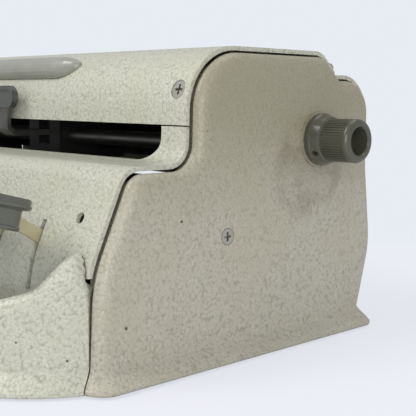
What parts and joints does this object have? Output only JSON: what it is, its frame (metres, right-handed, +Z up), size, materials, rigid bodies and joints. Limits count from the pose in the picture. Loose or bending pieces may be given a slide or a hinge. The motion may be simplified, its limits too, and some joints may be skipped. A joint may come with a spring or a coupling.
{
  "type": "manual braille writer",
  "caption": "Desktop machine that embosses raised dots in paper: cap keys on levers, a sliding embossing head, a knob-turned paper roller and a cast casing with screwed sheet covers.",
  "frame": {"origin": "on the table plane under the middle of the whole machine", "axes": "+X to the machine's right, +Y to its back, +Z up"},
  "size_m": [0.3944, 0.232, 0.1414],
  "materials": {
    "light_hammer_paint": "pale grey-green hammered enamel",
    "hammer_paint": "grey-green hammered enamel",
    "blacked_steel": "black oxide",
    "black_rubber": "matt",
    "bright_steel": "plain, lightly oiled",
    "bell_brass": "bright",
    "zinc_plate": "yellowish zinc plating",
    "grey_plastic": "grey, glossy moulded",
    "dark_plastic": "dark grey-green, satin",
    "handle_plastic": "light grey, satin"
  },
  "bodies": {
    "casing": {"base_pan": "blacked_steel", "front_apron": "light_hammer_paint", "side_panel_right": "hammer_paint", "side_panel_left": "hammer_paint", "front_cover": "light_hammer_paint", "top_cover": "light_hammer_paint", "rear_cover": "hammer_paint", "rubber_feet": "black_rubber", "casing_screws": "bright_steel", "frame_plate_right": "bright_steel", "frame_plate_left": "bright_steel", "carriage_rails": "bright_steel", "key_shaft": "bright_steel", "key_springs": "bright_steel", "paper_guide": "bright_steel", "margin_rack": "bright_steel", "bell": "bell_brass", "spacing_rack": "bright_steel", "dot_bar_guides": "bright_steel"},
    "key_dot_1": {"lever_dot_1": "zinc_plate", "keycap_dot_1": "grey_plastic"},
    "key_dot_2": {"lever_dot_2": "zinc_plate", "keycap_dot_2": "grey_plastic"},
    "key_dot_3": {"lever_dot_3": "zinc_plate", "keycap_dot_3": "grey_plastic"},
    "key_dot_4": {"lever_dot_4": "zinc_plate", "keycap_dot_4": "grey_plastic"},
    "key_dot_5": {"lever_dot_5": "zinc_plate", "keycap_dot_5": "grey_plastic"},
    "key_dot_6": {"lever_dot_6": "zinc_plate", "keycap_dot_6": "grey_plastic"},
    "key_space": {"lever_space": "zinc_plate", "keycap_space": "grey_plastic"},
    "key_backspace": {"lever_backspace": "zinc_plate", "keycap_backspace": "grey_plastic"},
    "key_line": {"lever_line": "zinc_plate", "keycap_line": "grey_plastic"},
    "bar_1": {"dot_bar_1": "bright_steel"},
    "bar_2": {"dot_bar_2": "bright_steel"},
    "bar_3": {"dot_bar_3": "bright_steel"},
    "bar_4": {"dot_bar_4": "bright_steel"},
    "bar_5": {"dot_bar_5": "bright_steel"},
    "bar_6": {"dot_bar_6": "bright_steel"},
    "head": {"head_body": "blacked_steel", "head_pins": "bright_steel"},
    "barrel": {"spring_barrel": "bright_steel"},
    "grip_lever": {"carriage_lever": "bright_steel", "lever_pad": "dark_plastic"},
    "roller": {"paper_roller": "black_rubber", "knob_right": "dark_plastic", "knob_left": "dark_plastic", "line_ratchet": "bright_steel"},
    "pawl": {"line_pawl": "bright_steel"},
    "release": {"release_bail": "bright_steel", "release_levers": "dark_plastic", "pressure_rollers": "black_rubber"},
    "handle": {"carry_handle": "handle_plastic"},
    "stop_right": {"margin_stop_right": "dark_plastic"},
    "stop_left": {"margin_stop_left": "dark_plastic"},
    "clapper": {"bell_clapper": "bright_steel"}
  },
  "joints": [
    {"name": "press_dot_1", "type": "hinge", "parent": "casing", "child": "key_dot_1", "pos_m": [0, -0.018, 0.053], "axis": [1, 0, 0], "range_deg": [0, 8], "stiffness_Nm_per_rad": 0.6, "springref_deg": -5.73},
    {"name": "press_dot_2", "type": "hinge", "parent": "casing", "child": "key_dot_2", "pos_m": [0, -0.018, 0.053], "axis": [1, 0, 0], "range_deg": [0, 8], "stiffness_Nm_per_rad": 0.6, "springref_deg": -5.73},
    {"name": "press_dot_3", "type": "hinge", "parent": "casing", "child": "key_dot_3", "pos_m": [0, -0.018, 0.053], "axis": [1, 0, 0], "range_deg": [0, 8], "stiffness_Nm_per_rad": 0.6, "springref_deg": -5.73},
    {"name": "press_dot_4", "type": "hinge", "parent": "casing", "child": "key_dot_4", "pos_m": [0, -0.018, 0.053], "axis": [1, 0, 0], "range_deg": [0, 8], "stiffness_Nm_per_rad": 0.6, "springref_deg": -5.73},
    {"name": "press_dot_5", "type": "hinge", "parent": "casing", "child": "key_dot_5", "pos_m": [0, -0.018, 0.053], "axis": [1, 0, 0], "range_deg": [0, 8], "stiffness_Nm_per_rad": 0.6, "springref_deg": -5.73},
    {"name": "press_dot_6", "type": "hinge", "parent": "casing", "child": "key_dot_6", "pos_m": [0, -0.018, 0.053], "axis": [1, 0, 0], "range_deg": [0, 8], "stiffness_Nm_per_rad": 0.6, "springref_deg": -5.73},
    {"name": "press_space", "type": "hinge", "parent": "casing", "child": "key_space", "pos_m": [0, -0.018, 0.053], "axis": [1, 0, 0], "range_deg": [0, 8], "stiffness_Nm_per_rad": 0.6, "springref_deg": -5.73},
    {"name": "press_backspace", "type": "hinge", "parent": "casing", "child": "key_backspace", "pos_m": [0, -0.018, 0.053], "axis": [1, 0, 0], "range_deg": [0, 8], "stiffness_Nm_per_rad": 0.6, "springref_deg": -5.73},
    {"name": "press_line", "type": "hinge", "parent": "casing", "child": "key_line", "pos_m": [0, -0.018, 0.053], "axis": [1, 0, 0], "range_deg": [0, 8], "stiffness_Nm_per_rad": 0.6, "springref_deg": -5.73},
    {"name": "lift_bar_1", "type": "slide", "parent": "casing", "child": "bar_1", "axis": [0, 0, 1], "range_m": [0, 0.0067]},
    {"name": "lift_bar_2", "type": "slide", "parent": "casing", "child": "bar_2", "axis": [0, 0, 1], "range_m": [0, 0.0073]},
    {"name": "lift_bar_3", "type": "slide", "parent": "casing", "child": "bar_3", "axis": [0, 0, 1], "range_m": [0, 0.0079]},
    {"name": "lift_bar_4", "type": "slide", "parent": "casing", "child": "bar_4", "axis": [0, 0, 1], "range_m": [0, 0.0084]},
    {"name": "lift_bar_5", "type": "slide", "parent": "casing", "child": "bar_5", "axis": [0, 0, 1], "range_m": [0, 0.009]},
    {"name": "lift_bar_6", "type": "slide", "parent": "casing", "child": "bar_6", "axis": [0, 0, 1], "range_m": [0, 0.0095]},
    {"name": "head_travel", "type": "slide", "parent": "casing", "child": "head", "axis": [1, 0, 0], "range_m": [-0.152, 0.102]},
    {"name": "barrel_spin", "type": "hinge", "parent": "head", "child": "barrel", "pos_m": [0.025, 0.0335, 0.13], "axis": [0, 0, 1], "continuous": true},
    {"name": "grip_lever_press", "type": "hinge", "parent": "head", "child": "grip_lever", "pos_m": [0.025, 0.006, 0.099], "axis": [1, 0, 0], "range_deg": [0, 8], "stiffness_Nm_per_rad": 0.15, "springref_deg": -11.46},
    {"name": "roller_turn", "type": "hinge", "parent": "casing", "child": "roller", "pos_m": [0, 0.0646, 0.0986], "axis": [1, 0, 0], "continuous": true},
    {"name": "pawl_swing", "type": "hinge", "parent": "casing", "child": "pawl", "pos_m": [-0.146, 0.038, 0.09], "axis": [1, 0, 0], "range_deg": [0, 8.2]},
    {"name": "paper_release", "type": "hinge", "parent": "casing", "child": "release", "pos_m": [0, 0.09, 0.1], "axis": [1, 0, 0], "range_deg": [0, 14]},
    {"name": "handle_lift", "type": "slide", "parent": "casing", "child": "handle", "axis": [0, 0, 1], "range_m": [0, 0.016]},
    {"name": "margin_right", "type": "slide", "parent": "casing", "child": "stop_right", "axis": [1, 0, 0], "range_m": [-0.1, 0.008]},
    {"name": "margin_left", "type": "slide", "parent": "casing", "child": "stop_left", "axis": [1, 0, 0], "range_m": [-0.008, 0.1]},
    {"name": "clapper_swing", "type": "hinge", "parent": "casing", "child": "clapper", "pos_m": [-0.0775, 0.04, 0.0079], "axis": [0, 1, 0], "range_deg": [0, 12], "stiffness_Nm_per_rad": 0.004, "springref_deg": -17.19}
  ],
  "couplings": [
    {"joint": "lift_bar_1", "follows": "press_dot_1", "m_per_rad": 0.044},
    {"joint": "lift_bar_2", "follows": "press_dot_2", "m_per_rad": 0.048},
    {"joint": "lift_bar_3", "follows": "press_dot_3", "m_per_rad": 0.052},
    {"joint": "lift_bar_4", "follows": "press_dot_4", "m_per_rad": 0.056},
    {"joint": "lift_bar_5", "follows": "press_dot_5", "m_per_rad": 0.06},
    {"joint": "lift_bar_6", "follows": "press_dot_6", "m_per_rad": 0.064},
    {"joint": "barrel_spin", "follows": "head_travel", "rad_per_m": 111.11},
    {"joint": "pawl_swing", "follows": "press_line", "ratio": 1}
  ]
}
